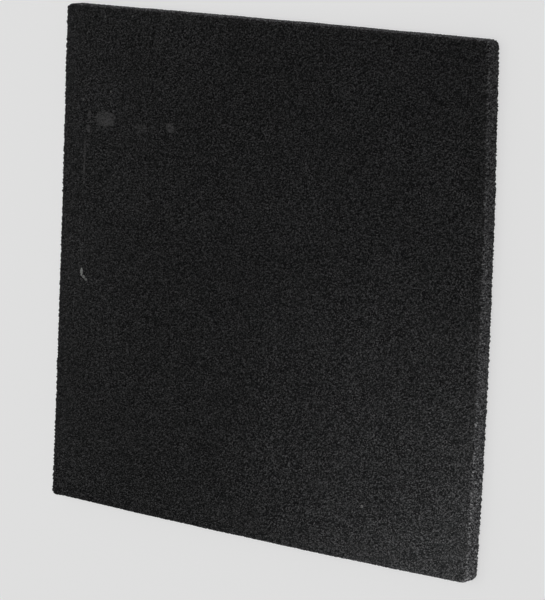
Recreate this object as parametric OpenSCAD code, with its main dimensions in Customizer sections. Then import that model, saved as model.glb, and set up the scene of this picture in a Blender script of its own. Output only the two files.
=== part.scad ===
// Balance pad: one block of black open-cell foam, cut square and left uncovered.
// It lies flat, as it is stood on. +Z is up through the thickness, and the origin
// is the centre of the underside.

/* [Pad] */
// Width of the pad, along X
pad_width = 500; // [300:10:700]
// Length of the pad, along Y
pad_length = 500; // [300:10:700]
// Thickness of the foam, along Z
pad_thickness = 18; // [12:1:80]

/* [Rounding] */
// Radius of the four upright corners, seen from above
corner_radius = 6; // [4:0.5:40]
// Radius along the upper and lower edges, where the cut foam is worn soft
edge_radius = 2; // [1:0.5:3.5]

/* [Hidden] */
foam_black = [0.03, 0.03, 0.032];
straight_width = pad_width - 2 * corner_radius;
straight_length = pad_length - 2 * corner_radius;
band_height = pad_thickness - 2 * edge_radius;
round_steps = 96;

// Upright section of the slab, rounded at both ends, with its foot on the X axis.
module slab_section(span) {
    straight_span = span - 2 * edge_radius;
    translate([-straight_span / 2, 0]) square([straight_span, pad_thickness]);
    translate([-span / 2, edge_radius]) square([span, band_height]);
    for (side = [-1, 1], height = [edge_radius, pad_thickness - edge_radius])
        translate([side * straight_span / 2, height])
            circle(r = edge_radius, $fn = round_steps);
}

// Slab section drawn out along Y, in the middle of that length.
module slab_bar(span, length) {
    rotate([90, 0, 0])
        linear_extrude(height = length, center = true) slab_section(span);
}

// Round post that fills one corner, with the same section as the edges.
module corner_post() {
    rotate_extrude($fn = round_steps)
        intersection() {
            slab_section(2 * corner_radius);
            square([corner_radius, pad_thickness]);
        }
}

module foam_slab() {
    color(foam_black) {
        slab_bar(pad_width, straight_length);
        rotate([0, 0, 90]) slab_bar(pad_length, straight_width);
        for (x = [-1, 1], y = [-1, 1])
            translate([x * straight_width / 2, y * straight_length / 2, 0])
                corner_post();
    }
}

foam_slab();
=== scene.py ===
"""Looks of the balance pad: one uncovered block of black open-cell foam, lying flat.

The CAD slab gives the size and place. Here it is replaced by one closed mesh whose
surface is cut through the foam's cells, with a procedural foam material.
Lengths are in metres, in the row frame: +Z up, origin at the middle of the underside.
"""

import math

import bpy
import numpy as np
from mathutils import Matrix, Vector


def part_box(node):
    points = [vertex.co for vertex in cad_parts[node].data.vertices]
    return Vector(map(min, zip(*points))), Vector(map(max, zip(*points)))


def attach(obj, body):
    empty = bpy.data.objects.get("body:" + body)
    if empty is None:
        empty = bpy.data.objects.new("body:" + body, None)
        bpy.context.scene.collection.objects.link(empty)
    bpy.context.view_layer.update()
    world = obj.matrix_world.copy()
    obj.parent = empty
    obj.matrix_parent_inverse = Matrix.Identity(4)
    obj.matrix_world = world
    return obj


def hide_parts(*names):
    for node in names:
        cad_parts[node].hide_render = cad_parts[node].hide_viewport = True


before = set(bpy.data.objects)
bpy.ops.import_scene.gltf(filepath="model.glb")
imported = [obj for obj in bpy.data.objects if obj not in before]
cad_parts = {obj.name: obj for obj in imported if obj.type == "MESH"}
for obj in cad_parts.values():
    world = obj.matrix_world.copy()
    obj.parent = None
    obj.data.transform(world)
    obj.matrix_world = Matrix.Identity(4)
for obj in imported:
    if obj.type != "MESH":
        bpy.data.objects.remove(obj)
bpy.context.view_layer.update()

SLAB = "foam_slab"
MM = 0.001
UP = np.array((0.0, 0.0, 1.0))

# Cut cells. Lengths along X; CELL_STRETCH makes cells and struts narrower along Y,
# across the way the foam rose.
CELL = 1.7 * MM
CELL_STRETCH = (1.0, 1.4, 1.0)
BOWL = (0.68, 0.12)  # how far from a cell's middle its hollow starts, and is deepest
CELL_VARIETY = (0.2, 0.75)  # random numbers of the shallowest and the deepest cells
SHALLOWEST = 0.5  # pit depth of the shallowest cells
VARIETY_DEPTH = 0.7  # how much more the deepest have
PIT_DEPTH = 0.9 * MM  # how far below the rims a pit depth of 1 is
RIM_PROUD = 0.25 * MM  # how far the rims stand out from the CAD faces, but for the underside
SIDE_PROUD = 0.35 * MM  # how much further they stand out on the cut sides
TUFT = 1.9 * MM  # width of the loose tufts on the two torn sides, -X and +X
TUFT_HEIGHT = 1.2 * MM
TUFT_SHARE = (0.35, 0.7)  # noise below the first has no tuft, and above the second a full one
GRAIN = 1.0 * MM  # width of the torn struts
GRAIN_HEIGHT = 0.35 * MM
SWELL = 45 * MM  # width of the slow unevenness of a cut face
SWELL_HEIGHT = 0.5 * MM

# Outline: a soft block is never cut quite true.
CORNER_RADIUS = 6 * MM
EDGE_RADIUS = 2 * MM
WIDTH_TAPER = 1.75 * MM  # the +Y side is this much short at each end, and the -Y side long
LENGTH_TAPER = 0.55 * MM  # the +X side is this much long at each end, and the -X side short
# How far the middle of each side bulges, or is hollow where this is below 0.
BOW = {"-X": -1.1 * MM, "+X": 3.9 * MM, "-Y": 2.0 * MM, "+Y": 0.7 * MM}
# How far the nearly sharp corner at -X and -Y is drawn out, along X and along Y.
POINTED = 2.4 * MM
POINT_TIGHTNESS = 60  # larger for a shorter point

# Mesh.
GRID_STEP = 0.7 * MM
UNDERSIDE_STRIDE = 2  # grid steps to one face of the underside
EDGE_STEPS = 4  # faces round each soft edge
QUAD = 4  # corners of one face

# The map named OFBake, 1 wide and 1 high: most is for the standing face.
MAP_SPAN = 510 * MM  # what the map of one face takes in, with the soft edges round it
MAP_MARGIN = 0.01
TOP_WIDTH = 0.72
UNDER_WIDTH = 1 - TOP_WIDTH - 3 * MAP_MARGIN
PAST_TOP = TOP_WIDTH + 2 * MAP_MARGIN  # where the underside starts across, and the sides up
STRIP_PITCH = 0.035  # height of the map given to each side

# Where the surface counts as side, torn side, underside or standing face. Each pair is where
# its share starts and is full, by one part of the direction that the surface faces.
SIDE_FACING = (0.98, 0.5)  # how far up or down
TORN_FACING = (0.3, 0.95)  # how far along X, either way
DOWN_FACING = (-0.3, -0.9)  # how far up
UP_FACING = (0.9, 1.0)

# Foam material. Colours are in linear light.
# Struts run from dull to bright at random; the bright ones are painted glints.
STRUT_DULL = (0.0014, 0.0014, 0.0015, 1)
STRUT_BRIGHT = (0.0237, 0.0237, 0.0241, 1)
# Painted shade: the colour that the pits of the cut cells are darkened to, most in the deepest pits.
PIT_SHADE_COLOUR = (0.0008, 0.0008, 0.0009, 1)
RUBBED_COLOUR = (0.025, 0.0246, 0.0246, 1)  # where cells are pressed flat or filled
LINT_COLOUR = (0.095, 0.095, 0.093, 1)
STRUT = 1.0 * MM  # length of one cut strut
GLINT = (0.25, 0.95)  # random numbers of the dullest struts and of the brightest, the painted glints
GLINT_POWER = 1.6  # above 1 makes the painted glints fewer
SIDE_SHEEN = 0.95  # how much paler the struts are painted on the soft edges and cut sides: a painted sheen
PATCH = 90 * MM  # width of the paler and darker areas of the foam
PATCH_SHADE = 0.25  # how far those areas differ from the rest, either way
BUMP_GRAIN = 0.3 * MM  # width of the roughness along each strut
BUMP_HEIGHT = 0.12 * MM
STRUT_ROUGHNESS = 0.8
SPECULAR = 0.03  # the rough struts shade each other, so almost no gloss is left

# Marks on the standing face: the middle and half widths along X and Y in mm, and how strong.
RUBBED_MARKS = (
    ((-196, 139), (14, 9), 0.6),
    ((-190, 136), (8, 5), 0.5),
    ((-216, 142), (3, 5), 0.6),
    ((-217, 128), (3, 4), 0.6),
    ((-113, 138), (6, 6), 0.65),
    ((-150, 134), (9, 5), 0.3),
    ((-221, 98), (1.5, 30), 0.5),
)
LINT_MARKS = (
    ((-221, -17), (1.9, 5.0), 1.0),
    ((-218, -21.5), (2.4, 1.9), 0.8),
    ((-215, -24), (1.8, 1.7), 0.6),
    ((-189, 167), (1.4, 1.4), 0.35),
    ((-224, 156), (1.3, 1.3), 0.3),
    ((-199, 240), (1.4, 1.4), 0.3),
    ((-164, 243), (1.4, 1.4), 0.3),
    ((132, -198), (1.6, 1.6), 0.4),
)
NOTCH = 4 * MM  # width of the notches in a mark's outline
MARK_EDGE = (1.5, 1.2)  # notched distance where a mark ends, and where it is whole
MARK_GAP = 1.3 * MM  # width of the gaps within a mark
MARK_GAP_SHARE = (0.15, 0.6)

# Studio.
CAMERA_REACH = 200  # past the far edge of the floor
AMBIENT = 0.2  # strength of the even light from all round
FLOOR_REACH = 60.0  # wide enough that no other view shows its edge
FLOOR_LIT = 0.45  # share of the studio light that the floor gives back, with shadows
FLOOR_GLOW = 0.595  # what is added to the camera's view of it, so that it stays pale
BACKDROP_GREY = FLOOR_GLOW + FLOOR_LIT * AMBIENT  # as the floor looks far from the lamps
LAMPS = (  # name, place, aim, size, power, and whether it lights only the foam
    ("overhead", (-0.3, 0.2, 2.2), (0, 0, 0), (1.6, 1.6), 7, False),
    ("far_side", (0.1, 1.3, 0.3), (0, 0.25, 0), (0.9, 0.3), 40, True),
    ("right_side", (1.0, -0.4, 0.2), (0.25, 0, 0), (0.5, 0.25), 19, True),
    ("corner", (0.35, -0.45, 0.25), (0.2, -0.2, 0), (0.15, 0.15), 7.2, True),
    ("left_side", (-0.5, 0.0, 0.12), (-0.25, 0, 0), (0.8, 0.15), 2.9, True),
)


# ---------------------------------------------------------------- node helpers


def wire(tree, kind, links=None, output=0, **settings):
    """Adds a node, links or sets its inputs by name or number, and returns one output."""
    node = tree.nodes.new(kind)
    for name, value in settings.items():
        setattr(node, name, value)
    for socket, value in (links or {}).items():
        if isinstance(value, bpy.types.NodeSocket):
            tree.links.new(value, node.inputs[socket])
        else:
            node.inputs[socket].default_value = value
    return node.outputs[output]


def wire_output(tree, kind, shader):
    end = tree.nodes.new(kind)
    tree.links.new(shader, end.inputs["Surface"])


def maths(tree, operation, a, b=0.0):
    return wire(tree, "ShaderNodeMath", {0: a, 1: b}, operation=operation)


def scaled(tree, value, factor, plus):
    """value * factor + plus"""
    links = {0: value, 1: factor, 2: plus}
    return wire(tree, "ShaderNodeMath", links, operation="MULTIPLY_ADD")


def vector_maths(tree, operation, a, b):
    return wire(tree, "ShaderNodeVectorMath", {0: a, 1: b}, operation=operation)


def times(tree, vector, factor):
    """A vector or colour times one number."""
    links = {0: vector, "Scale": factor}
    return wire(tree, "ShaderNodeVectorMath", links, operation="SCALE")


def smooth_step(tree, value, low, high):
    """0 below low, 1 above high, eased between them. low may be the larger."""
    ends = {"Value": value, "From Min": low, "From Max": high}
    return wire(tree, "ShaderNodeMapRange", ends, interpolation_type="SMOOTHSTEP")


def noise(tree, place, size):
    return wire(tree, "ShaderNodeTexNoise", {"Vector": place, "Scale": 1 / size})


def mix_colour(tree, share, a, b):
    """a where share is 0, and b where it is 1. The node's third pair of inputs is for colours."""
    return wire(tree, "ShaderNodeMix", {0: share, 6: a, 7: b}, 2, data_type="RGBA")


def part_along(tree, vector, axis):
    return wire(tree, "ShaderNodeSeparateXYZ", {0: vector}, axis)


def side_share(tree, outward):
    """0 on the flat faces, rising over the soft edges to 1 on the sides."""
    return smooth_step(tree, maths(tree, "ABSOLUTE", part_along(tree, outward, "Z")), *SIDE_FACING)


def torn_share(tree, outward):
    """1 on the two sides where the foam was torn more than cut, -X and +X."""
    return smooth_step(tree, maths(tree, "ABSOLUTE", part_along(tree, outward, "X")), *TORN_FACING)


def underside_share(tree, outward):
    """1 where the foam faces down."""
    return smooth_step(tree, part_along(tree, outward, "Z"), *DOWN_FACING)


def voronoi(tree, place, size):
    """A Voronoi node in the foam's stretched space, for cells or struts this wide."""
    node = tree.nodes.new("ShaderNodeTexVoronoi")
    node.inputs["Scale"].default_value = 1 / size
    tree.links.new(vector_maths(tree, "MULTIPLY", place, CELL_STRETCH), node.inputs["Vector"])
    return node


def cut_cells(tree, place):
    """The cut cells at a place in the foam, for the mesh and the material alike.

    Returns the pit depth: 0 on the rims, and past 1 in the middle of the deepest cells.
    """
    cells = voronoi(tree, place, CELL)
    bowl = smooth_step(tree, cells.outputs["Distance"], *BOWL)
    variety = smooth_step(tree, cells.outputs["Color"], *CELL_VARIETY)
    return maths(tree, "MULTIPLY", bowl, scaled(tree, variety, VARIETY_DEPTH, SHALLOWEST))


# ---------------------------------------------------------------- slab mesh


def rounded_plan(x, y, half_x, half_y, radius):
    """Moves a square grid's points so that its outline and the rings inside it get round corners.

    Returns the new places, and each point's direction outwards at a corner.
    """
    inset = np.minimum(half_x - np.abs(x), half_y - np.abs(y))
    ring_radius = np.maximum(radius - inset, 0)
    straight_x = half_x - inset - ring_radius
    straight_y = half_y - inset - ring_radius
    past_x = np.clip(np.abs(x) - straight_x, 0, ring_radius)
    past_y = np.clip(np.abs(y) - straight_y, 0, ring_radius)
    larger = np.maximum(past_x, past_y)
    turn = math.pi / 4 * np.minimum(past_x, past_y) / np.where(larger > 0, larger, 1)
    along, across = np.cos(turn), np.sin(turn)
    out_x = np.where(past_x >= past_y, along, across) * np.sign(x)
    out_y = np.where(past_x >= past_y, across, along) * np.sign(y)
    new_x = np.sign(x) * np.minimum(np.abs(x), straight_x) + out_x * ring_radius
    new_y = np.sign(y) * np.minimum(np.abs(y), straight_y) + out_y * ring_radius
    return np.column_stack([new_x, new_y]), np.column_stack([out_x, out_y])


def at_height(plan, height):
    return np.column_stack([plan, np.full(len(plan), height)])


def grid_rim(across, along):
    """Indices of a grid's outline, anticlockwise from its lowest corner."""
    near = [(i, 0) for i in range(across)]
    right = [(across, j) for j in range(along)]
    far = [(i, along) for i in range(across, 0, -1)]
    left = [(0, j) for j in range(along, 0, -1)]
    return np.array(near + right + far + left)


def ring_places(bottom, top, side_steps):
    """Every ring of points from the standing face down to the underside.

    Each is how far it has turned from facing up, and the height that it turns about.
    """
    turns = [math.pi / 2 * k / EDGE_STEPS for k in range(1, EDGE_STEPS + 1)]
    side = top - bottom - 2 * EDGE_RADIUS
    rings = [(turn, top - EDGE_RADIUS) for turn in turns]
    for k in range(1, side_steps + 1):
        rings.append((math.pi / 2, top - EDGE_RADIUS - side * k / side_steps))
    rings += [(math.pi / 2 + turn, bottom + EDGE_RADIUS) for turn in turns]
    return rings


def upper_quads(across, along, rim_index, ring_count):
    """The standing face's faces, then those from each ring down to the next."""
    index = np.arange((across + 1) * (along + 1)).reshape(across + 1, along + 1)
    corners = index[:-1, :-1], index[1:, :-1], index[1:, 1:], index[:-1, 1:]
    quads = [np.column_stack([corner.ravel() for corner in corners])]
    upper = rim_index
    onward = np.roll(np.arange(len(upper)), -1)
    for k in range(ring_count):
        lower = index.size + k * len(upper) + np.arange(len(upper))
        quads.append(np.column_stack([upper, lower, lower[onward], upper[onward]]))
        upper = lower
    return np.vstack(quads)


def underside_faces(across, along, under):
    """The underside's faces, with the outline's extra points on those along the rim.

    under holds the point at each place of the grid, or -1 where the wide grid has none.
    """
    stride = UNDERSIDE_STRIDE
    faces = []
    for i in range(0, across, stride):
        for j in range(0, along, stride):
            loop = [(i, j + k) for k in range(stride)]
            loop += [(i + k, j + stride) for k in range(stride)]
            loop += [(i + stride, j + stride - k) for k in range(stride)]
            loop += [(i + stride - k, j) for k in range(stride)]
            faces.append([int(under[place]) for place in loop if under[place] >= 0])
    return faces


def out_of_true(points, half_x, half_y):
    """The slight taper and bowed sides of a hand-cut block, and its one nearly sharp corner."""
    u, v = points[:, 0] / half_x, points[:, 1] / half_y
    bow_x = np.where(u > 0, BOW["+X"], BOW["-X"]) * u * (1 - v**2)
    bow_y = np.where(v > 0, BOW["+Y"], BOW["-Y"]) * v * (1 - u**2)
    points[:, 0] += bow_x - WIDTH_TAPER * u * v
    points[:, 1] += bow_y + LENGTH_TAPER * u * v
    corner = (np.clip(-u, 0, 1) * np.clip(-v, 0, 1)) ** POINT_TIGHTNESS
    points[:, :2] -= POINTED * corner[:, None]


def face_map(plan, corner, width, mirror):
    """Where the points of a flattened face lie on the map."""
    return np.array(corner) + (plan * (mirror, 1) / MAP_SPAN + 0.5) * width


def side_maps(across, along, side_steps):
    """Where the four cut sides lie on the map: one strip above another, over the top face."""
    lengths = (across, along, across, along)
    run = np.concatenate([np.arange(length) for length in lengths])
    strip = np.concatenate([np.full(length, k) for k, length in enumerate(lengths)])
    step = GRID_STEP * TOP_WIDTH / MAP_SPAN
    corners = []
    for k in range(side_steps):
        for ahead, down in ((0, 0), (0, 1), (1, 1), (1, 0)):
            u = MAP_MARGIN + (run + ahead) * step
            v = PAST_TOP + strip * STRIP_PITCH + (side_steps - k - down) * step
            corners.append(np.column_stack([u, v]))
    quads = np.array(corners).reshape(side_steps, QUAD, len(run), 2)
    return quads.transpose(0, 2, 1, 3).reshape(-1, 2)


def map_loops(loops, flattened, across, along, side_steps):
    """The place on the map of each corner of each face, in the order of the mesh."""
    rim_size = 2 * (across + along)
    top_end = QUAD * (across * along + EDGE_STEPS * rim_size)
    side_end = top_end + QUAD * side_steps * rim_size
    top_plan, under_plan = flattened[loops[:top_end]], flattened[loops[side_end:]]
    return np.vstack(
        [
            face_map(top_plan, (MAP_MARGIN, MAP_MARGIN), TOP_WIDTH, 1),
            side_maps(across, along, side_steps),
            face_map(under_plan, (PAST_TOP, MAP_MARGIN), UNDER_WIDTH, -1),
        ]
    )


def fill_mesh(name, points, loops, sizes):
    mesh = bpy.data.meshes.new(name)
    mesh.vertices.add(len(points))
    mesh.vertices.foreach_set("co", points.astype(np.float32).ravel())
    mesh.loops.add(len(loops))
    mesh.loops.foreach_set("vertex_index", loops)
    mesh.polygons.add(len(sizes))
    mesh.polygons.foreach_set("loop_start", (np.cumsum(sizes) - sizes).astype(np.int32))
    mesh.update(calc_edges=True)
    mesh.validate()
    mesh.polygons.foreach_set("use_smooth", np.ones(len(mesh.polygons), bool))
    return mesh


def slab_mesh(name, low, high):
    """A closed slab with an even grid of points, a place on the map for each corner of a face,
    and two attributes of each point: its place, and the direction outwards.
    """
    half_x, half_y = (high.x - low.x) / 2 - EDGE_RADIUS, (high.y - low.y) / 2 - EDGE_RADIUS
    stride = UNDERSIDE_STRIDE
    across, along = (stride * round(2 * half / GRID_STEP / stride) for half in (half_x, half_y))
    side_steps = round((high.z - low.z - 2 * EDGE_RADIUS) / GRID_STEP)

    # standing face
    xs = np.linspace(-half_x, half_x, across + 1)
    ys = np.linspace(-half_y, half_y, along + 1)
    grid_x, grid_y = (grid.ravel() for grid in np.meshgrid(xs, ys, indexing="ij"))
    plan, out = rounded_plan(grid_x, grid_y, half_x, half_y, CORNER_RADIUS - EDGE_RADIUS)
    points = [at_height(plan, high.z)]
    outward = [np.tile(UP, (len(plan), 1))]
    flattened = [plan]  # the plan with both soft edges pressed flat, for the map

    # rings round the soft edges and down the sides
    rim = grid_rim(across, along)
    rim_index = rim[:, 0] * (along + 1) + rim[:, 1]
    rim_place, rim_out = at_height(plan[rim_index], 0), at_height(out[rim_index], 0)
    rim_out /= np.linalg.norm(rim_out, axis=1)[:, None]
    rings = ring_places(low.z, high.z, side_steps)
    for k, (turn, height) in enumerate(rings):
        direction = rim_out * math.sin(turn) + UP * math.cos(turn)
        points.append(rim_place + direction * EDGE_RADIUS + UP * height)
        outward.append(direction)
        from_edge = min(k + 1, len(rings) - 1 - k, EDGE_STEPS) / EDGE_STEPS
        spread = from_edge * math.pi / 2 * EDGE_RADIUS
        flattened.append((rim_place + rim_out * spread)[:, :2])

    # underside: its outline is the last ring, and the points inside it lie on a wider grid
    inner = range(stride, across, stride), range(stride, along, stride)
    wide = np.array([(i, j) for i in inner[0] for j in inner[1]])
    wide_plan = plan[wide[:, 0] * (along + 1) + wide[:, 1]]
    points.append(at_height(wide_plan, low.z))
    outward.append(np.tile(-UP, (len(wide), 1)))
    flattened.append(wide_plan)
    last_ring = len(plan) + (len(rings) - 1) * len(rim)
    under = np.full((across + 1, along + 1), -1)
    under[wide[:, 0], wide[:, 1]] = last_ring + len(rim) + np.arange(len(wide))
    under[rim[:, 0], rim[:, 1]] = last_ring + np.arange(len(rim))

    quads = upper_quads(across, along, rim_index, len(rings))
    wide_faces = underside_faces(across, along, under)
    loops = np.concatenate([quads.ravel(), np.concatenate(wide_faces)]).astype(np.int32)
    sizes = np.concatenate([np.full(len(quads), QUAD), [len(face) for face in wide_faces]])
    all_points = np.vstack(points)
    out_of_true(all_points, half_x + EDGE_RADIUS, half_y + EDGE_RADIUS)
    mesh = fill_mesh(name, all_points, loops, sizes)
    for attribute, values in (("foam_place", all_points), ("foam_outward", np.vstack(outward))):
        stored = mesh.attributes.new(attribute, "FLOAT_VECTOR", "POINT")
        stored.data.foreach_set("vector", values.astype(np.float32).ravel())
    on_map = map_loops(loops, np.vstack(flattened), across, along, side_steps)
    layer = mesh.uv_layers.new(name="OFBake")
    layer.uv.foreach_set("vector", on_map.astype(np.float32).ravel())
    return mesh


def stored_vector(tree, name):
    links = {"Name": name}
    return wire(tree, "GeometryNodeInputNamedAttribute", links, data_type="FLOAT_VECTOR")


def even_noise(tree, place, size, height):
    """Noise that goes as far down as up, by at most this height."""
    return maths(tree, "MULTIPLY", maths(tree, "SUBTRACT", noise(tree, place, size), 0.5), 2 * height)


def cell_relief():
    """Geometry nodes that sink each point of the slab into the cell that was cut there."""
    tree = bpy.data.node_groups.new("cut_cells", "GeometryNodeTree")
    tree.interface.new_socket("Geometry", in_out="INPUT", socket_type="NodeSocketGeometry")
    tree.interface.new_socket("Geometry", in_out="OUTPUT", socket_type="NodeSocketGeometry")
    start = tree.nodes.new("NodeGroupInput")
    end = tree.nodes.new("NodeGroupOutput")
    place, outward = stored_vector(tree, "foam_place"), stored_vector(tree, "foam_outward")
    relief = scaled(tree, cut_cells(tree, place), -PIT_DEPTH, RIM_PROUD)
    relief = maths(tree, "ADD", relief, even_noise(tree, place, GRAIN, GRAIN_HEIGHT))
    relief = maths(tree, "ADD", relief, even_noise(tree, place, SWELL, SWELL_HEIGHT))
    proud = maths(tree, "MULTIPLY", side_share(tree, outward), SIDE_PROUD)
    relief = maths(tree, "ADD", relief, proud)
    tufts = smooth_step(tree, noise(tree, place, TUFT), *TUFT_SHARE)
    tufts = maths(tree, "MULTIPLY", tufts, torn_share(tree, outward))
    relief = maths(tree, "ADD", relief, maths(tree, "MULTIPLY", tufts, TUFT_HEIGHT))
    sunk_only = maths(tree, "MINIMUM", relief, 0.0)  # the underside stays clear of the floor
    links = {0: underside_share(tree, outward), 2: relief, 3: sunk_only}
    relief = wire(tree, "ShaderNodeMix", links, data_type="FLOAT")
    links = {"Geometry": start.outputs[0], "Offset": times(tree, outward, relief)}
    tree.links.new(wire(tree, "GeometryNodeSetPosition", links), end.inputs[0])
    return tree


# ---------------------------------------------------------------- materials


def new_material(name):
    material = bpy.data.materials.new(name)
    material.use_nodes = True
    material.node_tree.nodes.clear()
    return material, material.node_tree


def mark_share(tree, place, middle, half):
    """1 in the middle of a ragged mark on the standing face, and 0 outside it."""
    centre = (middle[0] * MM, middle[1] * MM, 0)
    per_width = (1 / (half[0] * MM), 1 / (half[1] * MM), 0)
    away = vector_maths(tree, "SUBTRACT", place, centre)
    away = vector_maths(tree, "MULTIPLY", away, per_width)
    reach = wire(tree, "ShaderNodeVectorMath", {0: away}, "Value", operation="LENGTH")
    notched = maths(tree, "ADD", reach, noise(tree, place, NOTCH))
    return smooth_step(tree, notched, *MARK_EDGE)


def strut_colour(tree, place, outward):
    """Struts of random brightness, the bright ones painted glints; painted paler on the soft edges and
    sides as a painted sheen; and paler or darker in some slow patches.
    """
    # Painted glints: struts picked at random are painted bright, as if they caught the light.
    glint = smooth_step(tree, voronoi(tree, place, STRUT).outputs["Color"], *GLINT)
    glint = maths(tree, "POWER", glint, GLINT_POWER)
    strut = mix_colour(tree, glint, STRUT_DULL, STRUT_BRIGHT)
    # Painted sheen: the sides and soft edges are painted paler than the standing face.
    side_sheen = scaled(tree, side_share(tree, outward), SIDE_SHEEN, 1 - PATCH_SHADE)
    patches = maths(tree, "MULTIPLY", noise(tree, place, PATCH), 2 * PATCH_SHADE)
    shade = maths(tree, "ADD", side_sheen, patches)
    return times(tree, strut, shade)


def foam_material():
    material, tree = new_material("black_foam")
    place = wire(tree, "ShaderNodeAttribute", None, "Vector", attribute_name="foam_place")
    outward = wire(tree, "ShaderNodeAttribute", None, "Vector", attribute_name="foam_outward")
    pit = cut_cells(tree, place)
    # The pits are painted dark by their depth: painted shade in the hollows of the cells.
    colour = mix_colour(tree, pit, strut_colour(tree, place, outward), PIT_SHADE_COLOUR)
    on_top = smooth_step(tree, part_along(tree, outward, "Z"), *UP_FACING)
    broken = smooth_step(tree, noise(tree, place, MARK_GAP), *MARK_GAP_SHARE)
    broken = maths(tree, "MULTIPLY", broken, on_top)
    for marks, paint in ((RUBBED_MARKS, RUBBED_COLOUR), (LINT_MARKS, LINT_COLOUR)):
        for middle, half, strength in marks:
            shown = maths(tree, "MULTIPLY", mark_share(tree, place, middle, half), broken)
            colour = mix_colour(tree, maths(tree, "MULTIPLY", shown, strength), colour, paint)
    links = {"Value": pit, "To Min": STRUT_ROUGHNESS, "To Max": 1.0}
    roughness = wire(tree, "ShaderNodeMapRange", links)
    links = {"Height": noise(tree, place, BUMP_GRAIN), "Distance": BUMP_HEIGHT}
    bump = wire(tree, "ShaderNodeBump", links)
    links = {"Base Color": colour, "Roughness": roughness, "Normal": bump}
    links["Specular IOR Level"] = SPECULAR
    shader = wire(tree, "ShaderNodeBsdfPrincipled", links)
    wire_output(tree, "ShaderNodeOutputMaterial", shader)
    return material


def seen_directly(tree):
    """1 for the camera and for what metal or glass shows, and 0 for light on the object."""
    rays = tree.nodes.new("ShaderNodeLightPath")
    seen = maths(tree, "MAXIMUM", rays.outputs["Is Camera Ray"], rays.outputs["Is Glossy Ray"])
    return maths(tree, "MAXIMUM", seen, rays.outputs["Is Transmission Ray"])


def pale_surface(name):
    """A plain floor that stays pale to the camera and keeps part of the object's shadow."""
    material, tree = new_material(name)
    glow = maths(tree, "MULTIPLY", seen_directly(tree), FLOOR_GLOW)
    lit = wire(tree, "ShaderNodeBsdfDiffuse", {"Color": (*[FLOOR_LIT] * 3, 1)})
    pale = wire(tree, "ShaderNodeEmission", {"Color": (1, 1, 1, 1), "Strength": glow})
    wire_output(tree, "ShaderNodeOutputMaterial", wire(tree, "ShaderNodeAddShader", {0: lit, 1: pale}))
    return material


# ---------------------------------------------------------------- studio


def make_floor(height):
    square = ((-1, -1), (1, -1), (1, 1), (-1, 1))
    mesh = bpy.data.meshes.new("studio_floor")
    mesh.from_pydata(
        [(x * FLOOR_REACH, y * FLOOR_REACH, height) for x, y in square], [], [(0, 1, 2, 3)]
    )
    floor = bpy.data.objects.new("studio_floor", mesh)
    bpy.context.scene.collection.objects.link(floor)
    mesh.materials.append(pale_surface("studio_floor"))


def make_world():
    """Even light from all round, and a pale backdrop where the camera sees past the floor."""
    world = bpy.data.worlds.new("studio")
    bpy.context.scene.world = world
    world.use_nodes = True
    tree = world.node_tree
    tree.nodes.clear()
    strength = scaled(tree, seen_directly(tree), BACKDROP_GREY - AMBIENT, AMBIENT)
    sky = wire(tree, "ShaderNodeBackground", {"Color": (1, 1, 1, 1), "Strength": strength})
    wire_output(tree, "ShaderNodeOutputWorld", sky)


def make_lamp(name, place, aim, size, power):
    data = bpy.data.lights.new(name, "AREA")
    data.shape = "RECTANGLE"
    data.size, data.size_y = size
    data.energy = power
    lamp = bpy.data.objects.new(name, data)
    lamp.location = place
    lamp.rotation_euler = (Vector(aim) - Vector(place)).to_track_quat("-Z", "Y").to_euler()
    lamp.visible_camera = False
    bpy.context.scene.collection.objects.link(lamp)
    return lamp


def light_only(lamp, receiver):
    """The lamp lights only this piece, so that the floor near it stays even."""
    linked = bpy.data.collections.new(lamp.name + "_lights")
    linked.objects.link(receiver)
    lamp.light_linking.receiver_collection = linked


def make_camera(aim, distance, azimuth, elevation, roll, lens):
    """Angles in degrees: azimuth from +X towards +Y, elevation above the floor."""
    turn, lift = math.radians(azimuth), math.radians(elevation)
    away = Vector((math.cos(lift) * math.cos(turn), math.cos(lift) * math.sin(turn), math.sin(lift)))
    data = bpy.data.cameras.new("camera")
    data.lens = lens
    data.clip_end = CAMERA_REACH
    camera = bpy.data.objects.new("camera", data)
    level = (-away).to_track_quat("-Z", "Y").to_matrix().to_4x4()
    tilt = Matrix.Rotation(math.radians(roll), 4, "Z")
    camera.matrix_world = Matrix.Translation(Vector(aim) + away * distance) @ level @ tilt
    bpy.context.scene.collection.objects.link(camera)
    bpy.context.scene.camera = camera


# ---------------------------------------------------------------- build

make_camera(
    aim=(0.0182, -0.0149, 0.018),
    distance=2.929,
    azimuth=15.64,
    elevation=52.48,
    roll=-100.41,
    lens=183.85,
)

low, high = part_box(SLAB)
foam = bpy.data.objects.new("foam_pad", slab_mesh("foam_pad", low, high))
bpy.context.scene.collection.objects.link(foam)
relief = foam.modifiers.new("cut_cells", "NODES")
relief.node_group = cell_relief()
bpy.context.view_layer.objects.active = foam
bpy.ops.object.modifier_apply(modifier=relief.name)
foam.data.materials.append(foam_material())
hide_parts(SLAB)
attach(foam, "root")

make_floor(low.z)
make_world()
for name, place, aim, size, power, only_foam in LAMPS:
    lamp = make_lamp(name, place, aim, size, power)
    if only_foam:
        light_only(lamp, foam)

bpy.context.scene.view_settings.view_transform = "Standard"
